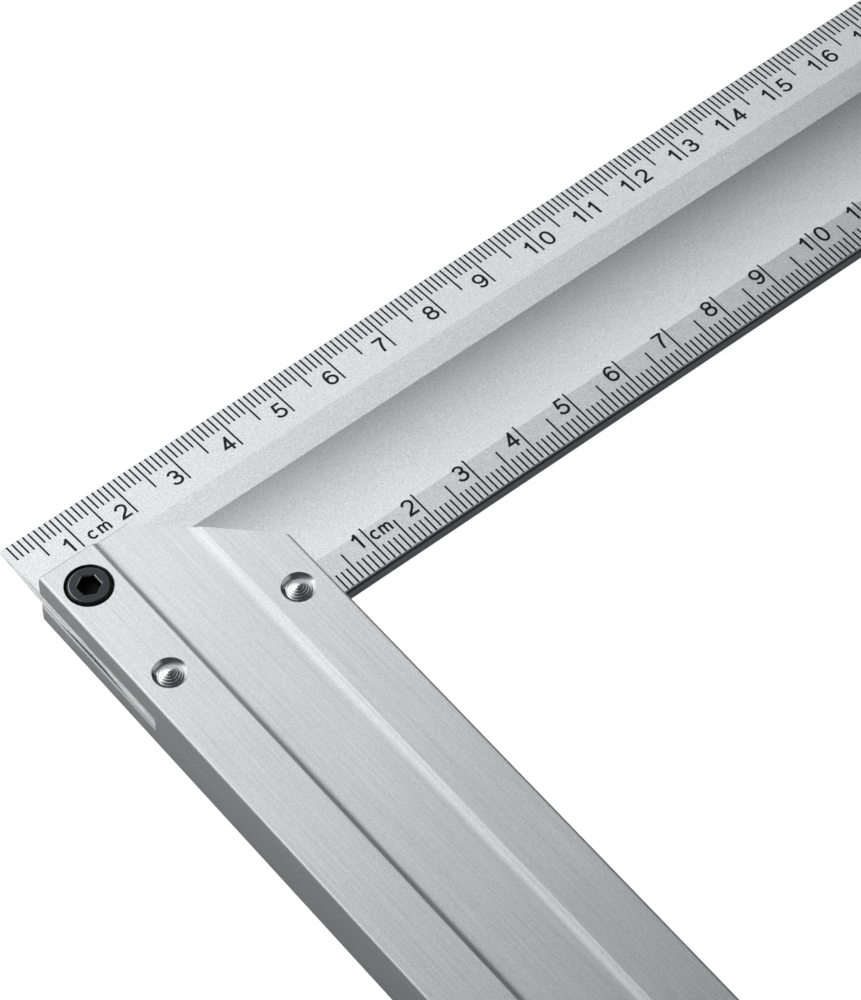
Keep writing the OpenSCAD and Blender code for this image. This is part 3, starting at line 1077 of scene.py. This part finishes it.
def milled_aluminium(name, stretch, dark, pale, lean):
    """Bare aluminium with cutter marks, painted darker in their grooves; stretch is small along them and
    lean tips them up.
    """
    material = bpy.data.materials.new(name)
    tree, in_mm = tree_in_mm(material)
    face_normal = add_node(tree, "ShaderNodeNewGeometry").outputs["Normal"]
    leaning = add_node(tree, "ShaderNodeVectorMath", {
        0: face_normal, 1: (0.0, 0.0, lean),
    }, operation="ADD")
    tipped = add_node(tree, "ShaderNodeVectorMath", {0: leaning}, operation="NORMALIZE")
    stretched = add_node(tree, "ShaderNodeMapping", {"Vector": in_mm, "Scale": stretch})
    marks = add_node(tree, "ShaderNodeTexNoise", {
        "Vector": stretched, "Scale": 1.6, "Detail": 5.0, "Roughness": 0.7, "Distortion": 0.4,
    })
    # Low noise is a groove, so the darker tone there is painted shade in the grooves.
    ridges = add_node(tree, "ShaderNodeMapRange", {"Value": marks, "From Min": 0.32, "From Max": 0.5})
    tint = add_node(tree, "ShaderNodeMix", {0: ridges, 6: linear(dark), 7: linear(pale)}, data_type="RGBA")
    rough = add_node(tree, "ShaderNodeMapRange", {
        "Value": marks, "From Min": 0.3, "From Max": 0.7, "To Min": 0.5, "To Max": 0.75,
    })
    relief = add_node(tree, "ShaderNodeBump", {
        "Height": marks, "Distance": MARK_RELIEF * MM, "Normal": tipped,
    })
    use_shader(tree, {
        "Metallic": 1.0, "Base Color": tint.outputs[2], "Roughness": rough, "Normal": relief,
    })
    return material


# The heel's pale tones are a brighter copy of the bare metal: painted light.
heel_with_painted_light = milled_aluminium(
    "bare_milled_aluminium_heel", stretch=(1.0, 0.14, 2.2), dark="#95989A", pale="#FFFFFF", lean=2.0)
# The sawn tones are a darker copy: painted shade in the slot and along the stock's end.
sawn_with_painted_shade = milled_aluminium(
    "bare_sawn_aluminium", stretch=(0.15, 1.0, 1.0), dark="#2E3033", pale="#A5A8AB", lean=0.0)
# The drilled tones are darker still: painted shade on countersink walls that face away from the light.
drilled_with_painted_shade = milled_aluminium(
    "drilled_aluminium", stretch=(1.0, 1.0, 1.0), dark="#26282B", pale="#6E7174", lean=0.0)
print("bare finishes:", [finish.name for finish in (heel_with_painted_light, sawn_with_painted_shade, drilled_with_painted_shade)])

# %% [markdown]
# The blade's inner edge was cut by a shear, which left it burnished, in streaks a third of
# a millimetre wide. Its colour turns darker towards the top with the height, which is
# painted shade along the upper part of the edge.

# %% The sheared edge of the blade
# Heights above the blade's middle where the painted shade starts and where it is full.
PAINTED_SHADE_FROM = 0.35
PAINTED_SHADE_FULL = 0.6

edge_finish = bpy.data.materials.new("sheared_aluminium_edge")
tree, in_mm = tree_in_mm(edge_finish)
height = add_node(tree, "ShaderNodeSeparateXYZ", {0: in_mm})
middle_z = corner.z / MM
painted_shade_band = add_node(tree, "ShaderNodeMapRange", {
    "Value": height.outputs["Z"], "From Min": middle_z + PAINTED_SHADE_FROM, "From Max": middle_z + PAINTED_SHADE_FULL,
})
streaks_at = add_node(tree, "ShaderNodeMapping", {"Vector": in_mm, "Scale": (1.0, 1.0, 0.2)})
streaks = add_node(tree, "ShaderNodeTexNoise", {"Vector": streaks_at, "Scale": 3.0, "Detail": 3.0})
burnished = add_node(tree, "ShaderNodeMix", {
    0: streaks, 6: linear("#B4B7BB"), 7: linear("#CCCFD2"),
}, data_type="RGBA")
# Above the start height the colour turns to dark grey: painted shade along the top of the edge.
tint = add_node(tree, "ShaderNodeMix", {
    0: painted_shade_band, 6: burnished.outputs[2], 7: linear("#64676C"),
}, data_type="RGBA")
use_shader(tree, {"Metallic": 1.0, "Roughness": 0.5, "Base Color": tint.outputs[2]})
print("edge: torn above", PAINTED_SHADE_FULL, "mm")

# %% [markdown]
# ## Turned pins, blackened steel and ink
#
# The pins are bright turned aluminium, much smoother than the matt bar, so their cones
# show the lamp as a sharp highlight. The screw is steel with a black oxide coat: nearly
# black and a little glossy, and duller inside its socket. The head's rim and the socket's
# mouth are bare steel, partly rubbed bright where the key enters and partly a painted
# highlight along these edges. The ink is a matt black with slightly uneven cover. All of
# them are two close tones over a noise of 0.25 to 0.4 mm, which is coarser than the real
# scuffs and specks, so that it shows. The noise can also change the gloss and the height.

# %% Pins, screw and ink
def speckled(material, scale, detail, tones, shader_values, rough=None, relief_mm=0.0):
    """A finish in two tones over a noise; scale is its specks in a mm."""
    tree, in_mm = tree_in_mm(material)
    specks = add_node(tree, "ShaderNodeTexNoise", {"Vector": in_mm, "Scale": scale, "Detail": detail})
    tint = add_node(tree, "ShaderNodeMix", {
        0: specks, 6: linear(tones[0]), 7: linear(tones[1]),
    }, data_type="RGBA")
    sockets = {"Base Color": tint.outputs[2], **shader_values}
    if rough:
        sockets["Roughness"] = add_node(tree, "ShaderNodeMapRange", {"Value": specks, **rough})
    if relief_mm:
        sockets["Normal"] = add_node(tree, "ShaderNodeBump", {"Height": specks, "Distance": relief_mm * MM})
    use_shader(tree, sockets)
    return material


pin_finish = speckled(
    bpy.data.materials.new("turned_bright_aluminium"), 4.0, 4.0, ("#CDD0D3", "#F2F4F5"),
    {"Metallic": 1.0, "Roughness": 0.24}, relief_mm=0.006)
screw_finish = speckled(
    bpy.data.materials.new("black_oxide_steel"), 2.5, 5.0, ("#08090B", "#15171A"),
    {"Metallic": 0.0, "Specular IOR Level": 0.55, "Specular Tint": linear("#EAF3FF")},
    rough={"From Min": 0.3, "From Max": 0.7, "To Min": 0.32, "To Max": 0.48}, relief_mm=0.01)
# Bare steel for the rims: partly rubbed wear, partly a painted highlight along the edges.
rubbed_and_highlight_finish = speckled(
    bpy.data.materials.new("rubbed_bare_steel"), 3.0, 3.0, ("#5E6163", "#C9CCCE"),
    {"Metallic": 1.0, "Roughness": 0.35})
socket_finish = speckled(
    bpy.data.materials.new("black_oxide_in_the_socket"), 3.0, 3.0, ("#07080A", "#14171A"),
    {"Metallic": 0.0, "Specular IOR Level": 0.2, "Roughness": 0.6})
speckled(
    ink, 3.0, 4.0, ("#060708", "#16181A"),
    {"Metallic": 0.0, "Specular IOR Level": 0.3}, rough={"To Min": 0.55, "To Max": 0.75})
print("materials:", [m.name for m in bpy.data.materials])

# %% [markdown]
# ## Giving each face its finish
#
# One piece can hold several finishes. On the stock, the faces made by the saw, the slot
# cutter and the drills are bare metal, mostly in darker copies that paint the shade there.
# On the blade, its heel is milled, in a paler copy that paints light on it, and its inner
# edge is sheared, with painted shade along its top. On the screw, the rims of the head and
# of the socket are rubbed bare, partly wear and partly a painted highlight. They are told
# apart by their place and by the way they face, with a small margin for rounding.
# A normal is 1 long, so its part along an axis tells how squarely a face looks that way.

# %% Assign the finishes
MARGIN = 0.01
HOLE_MARGIN = 0.02
SOCKET_REACH = 1.95
MOUTH_REACH = 2.3
# The ring of bare steel at the head's rim: partly wear, partly a painted highlight.
RUBBED_AND_HIGHLIGHT_R = HEAD_R - HEAD_CHAMFER + 0.04
RUBBED_AND_HIGHLIGHT_HALF_W = 0.05


def in_hole(face, places):
    """True for a face inside any of the holes, given as (x, y, radius)."""
    return any(math.dist(face.center[:2], (x, y)) < r + HOLE_MARGIN for x, y, r in places)


def is_cut(face):
    """True for a face of the stock that a saw, cutter or drill made."""
    in_slot = abs(face.center.z) < SLOT_HALF + MARGIN and face.center.y > SLOT_END - MARGIN
    on_end = abs(face.normal.y) > 0.5
    on_side = abs(face.normal.x) > 0.99
    on_wall = in_hole(face, [*pin_holes, screw_hole]) and abs(face.normal.z) < 0.9
    return on_end or on_wall or (in_slot and not on_side)


pin_holes = [(x, PIN_Y, SINK_R) for x in PIN_XS]
screw_hole = (*SCREW_PLACE, COUNTERBORE_R + RIM)
for piece, finishes in (
    (stock, (stock_finish, sawn_with_painted_shade, pin_finish, drilled_with_painted_shade)),
    (blade, (blade_finish, heel_with_painted_light, edge_finish)),
    (pins[0], (pin_finish,)),
    (pins[1], (pin_finish,)),
    (screw, (screw_finish, rubbed_and_highlight_finish, socket_finish)),
):
    piece.data.materials.clear()
    for finish in finishes:
        piece.data.materials.append(finish)

for face in stock.data.polygons:
    face.material_index = 1 if is_cut(face) else 0
    # In the countersinks, walls facing +X, away from the light, take the darker drilled copy as painted
    # shade; the others take the smooth turned finish.
    if face.material_index and in_hole(face, pin_holes):
        face.material_index = 3 if face.normal.x > 0.55 else 2

for face in blade.data.polygons:
    # The milled heel takes the paler copy, painted light; the inner edge takes the edge finish with its
    # painted shade.
    face.material_index = 1 if face.normal.x < -0.6 and face.center.x < 1 else 0
    if face.normal.y < -0.9 and face.center.y < 0.1 - BLADE_W:
        face.material_index = 2

for face in screw.data.polygons:
    from_axis = math.dist(face.center[:2], SCREW_PLACE)
    below_mouth = face.center.z < HEAD_TOP - MOUTH_BREAK
    at_mouth = face.center.z > HEAD_TOP - MOUTH_BREAK - MARGIN and 0.3 < face.normal.z < 0.9
    at_rim = abs(from_axis - RUBBED_AND_HIGHLIGHT_R) < RUBBED_AND_HIGHLIGHT_HALF_W and 0.3 < face.normal.z < 0.98
    in_socket = from_axis < SOCKET_REACH and HEAD_TOP - 2 * SOCKET_DEPTH < face.center.z and below_mouth
    face.material_index = 2 if in_socket else 0
    # The head's rim and the socket's mouth take bare steel: partly wear, partly a painted highlight along
    # these edges.
    if at_rim or (at_mouth and from_axis < MOUTH_REACH):
        face.material_index = 1
for piece in (stock, blade, screw):
    used = [face.material_index for face in piece.data.polygons]
    print(piece.name, "faces of each finish:", [used.count(i) for i in sorted(set(used))])

# %% [markdown]
# ## Soft edges for turned parts
#
# A turned surface is smooth round its axis, and sharp where two cuts meet. Faces are
# shaded smooth and edges above an angle are marked sharp, so facets vanish and corners stay.

# %% Smooth shading, then each piece to its place in the frame
SHARP = math.radians(28)
for piece in [*pins, screw]:
    piece.data.polygons.foreach_set("use_smooth", [True] * len(piece.data.polygons))
    piece.data.set_sharp_from_angle(angle=SHARP)
for piece in [stock, blade, *lines, *figures]:
    piece.data.polygons.foreach_set("use_smooth", [False] * len(piece.data.polygons))

riders = {"square": [stock, blade, *pins, *lines, *figures], "screw": [screw]}
for body, pieces in riders.items():
    for piece in pieces:
        piece.data.transform(into_frame)
        piece.data.update()
        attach(piece, body)
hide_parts("stock")
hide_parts("blade")
for pin in pins:
    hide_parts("pins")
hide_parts("socket_screw")
print("pieces:", [piece.name for pieces in riders.values() for piece in pieces])

# %% [markdown]
# ## Floor and light
#
# The picture has a plain white ground and one broad soft light from behind the blade, which
# is why the bevel is bright and the near side of the hollow dark. Metal has little
# colour of its own: it shows what stands around it, so the place and size of the
# lamps matter more than their power. One wide box stands behind the blade, a smaller one
# to its left brightens the faces that tilt that way, and a low one on the right lights
# the sides that face away from both. No lamp shows in the picture itself. The floor is
# a pale matt plane that reads as white to the camera and still takes the object's
# shadow, and in reflections it is a little greyer, which gives the bar's sides their tone.

# %% Floor, world and lamps
scene = bpy.context.scene
scene.view_settings.view_transform = "Standard"

FLOOR_HALF = 6.0
FLOOR_DROP = 0.02 * MM
CAMERA_SHARE = 0.86
CAMERA_WHITE = 1.15
WORLD_LEVEL = 0.05
AIM = (60.0, -60.0, 0.0)

corners = [(-1, -1), (1, -1), (1, 1), (-1, 1)]
floor_verts = [(x * FLOOR_HALF, y * FLOOR_HALF, -FLOOR_DROP) for x, y in corners]
floor = new_mesh_object("floor", floor_verts, [(0, 1, 2, 3)])
if floor.data.polygons[0].normal.z < 0:
    floor.data.flip_normals()
floor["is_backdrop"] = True

floor_paint = bpy.data.materials.new("matt_white_board")
tree = empty_tree(floor_paint)
path = add_node(tree, "ShaderNodeLightPath").outputs
paint = add_node(tree, "ShaderNodeMix", {
    0: path["Is Glossy Ray"], 6: linear("#EDEDED"), 7: linear("#C7C7C7"),
}, data_type="RGBA")
board = add_node(tree, "ShaderNodeBsdfDiffuse", {"Color": paint.outputs[2]})
white = add_node(tree, "ShaderNodeEmission", {"Color": (1, 1, 1, 1), "Strength": CAMERA_WHITE})
share = add_node(tree, "ShaderNodeMath", {0: path["Is Camera Ray"], 1: CAMERA_SHARE}, operation="MULTIPLY")
ground = add_node(tree, "ShaderNodeMixShader", {0: share, 1: board, 2: white})
add_node(tree, "ShaderNodeOutputMaterial", {"Surface": ground})
floor.data.materials.append(floor_paint)

world = bpy.data.worlds.new("studio")
scene.world = world
tree = empty_tree(world)
path = add_node(tree, "ShaderNodeLightPath").outputs
level = add_node(tree, "ShaderNodeMix", {
    0: path["Is Camera Ray"], 2: WORLD_LEVEL, 3: 1.0,
}, data_type="FLOAT")
sky = add_node(tree, "ShaderNodeBackground", {"Color": (1, 1, 1, 1), "Strength": level})
add_node(tree, "ShaderNodeOutputWorld", {"Surface": sky})


def softbox(name, azimuth, elevation, distance, half_width, half_height, brightness):
    """A flat lamp in mm and degrees, aimed at the square, of an even brightness."""
    a, e = math.radians(azimuth), math.radians(elevation)
    towards = Vector((math.cos(e) * math.cos(a), math.cos(e) * math.sin(a), math.sin(e)))
    data = bpy.data.lights.new(name, "AREA")
    data.shape = "RECTANGLE"
    data.size = 2 * half_width * MM
    data.size_y = 2 * half_height * MM
    data.energy = brightness * math.pi * data.size * data.size_y
    lamp = new_object(name, data)
    lamp.location = into_frame @ (Vector(AIM) + towards * distance)
    side = Vector((-math.sin(a), math.cos(a), 0))
    up = towards.cross(side)
    lamp.rotation_euler = Matrix((side, up, towards)).transposed().to_euler()
    lamp.visible_camera = False


softbox(
    "back_softbox", azimuth=94.5, elevation=23.5, distance=340,
    half_width=389, half_height=338, brightness=1.09)
softbox(
    "left_softbox", azimuth=127.0, elevation=45.3, distance=307,
    half_width=193, half_height=214, brightness=0.48)
softbox(
    "low_fill", azimuth=-48.0, elevation=17.0, distance=900,
    half_width=520, half_height=210, brightness=0.42)

# %% [markdown]
# ## The sizes at the end
#
# The box of the CAD and the box of the pieces are written side by side, so that the
# two can be compared: a finish may not change the size of the object.

# %% Write the sizes and finish
new_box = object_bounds()
for label, (low, high) in (("cad", cad_box), ("visual", new_box)):
    print(label, [round(v / MM, 2) for v in low], [round(v / MM, 2) for v in high])
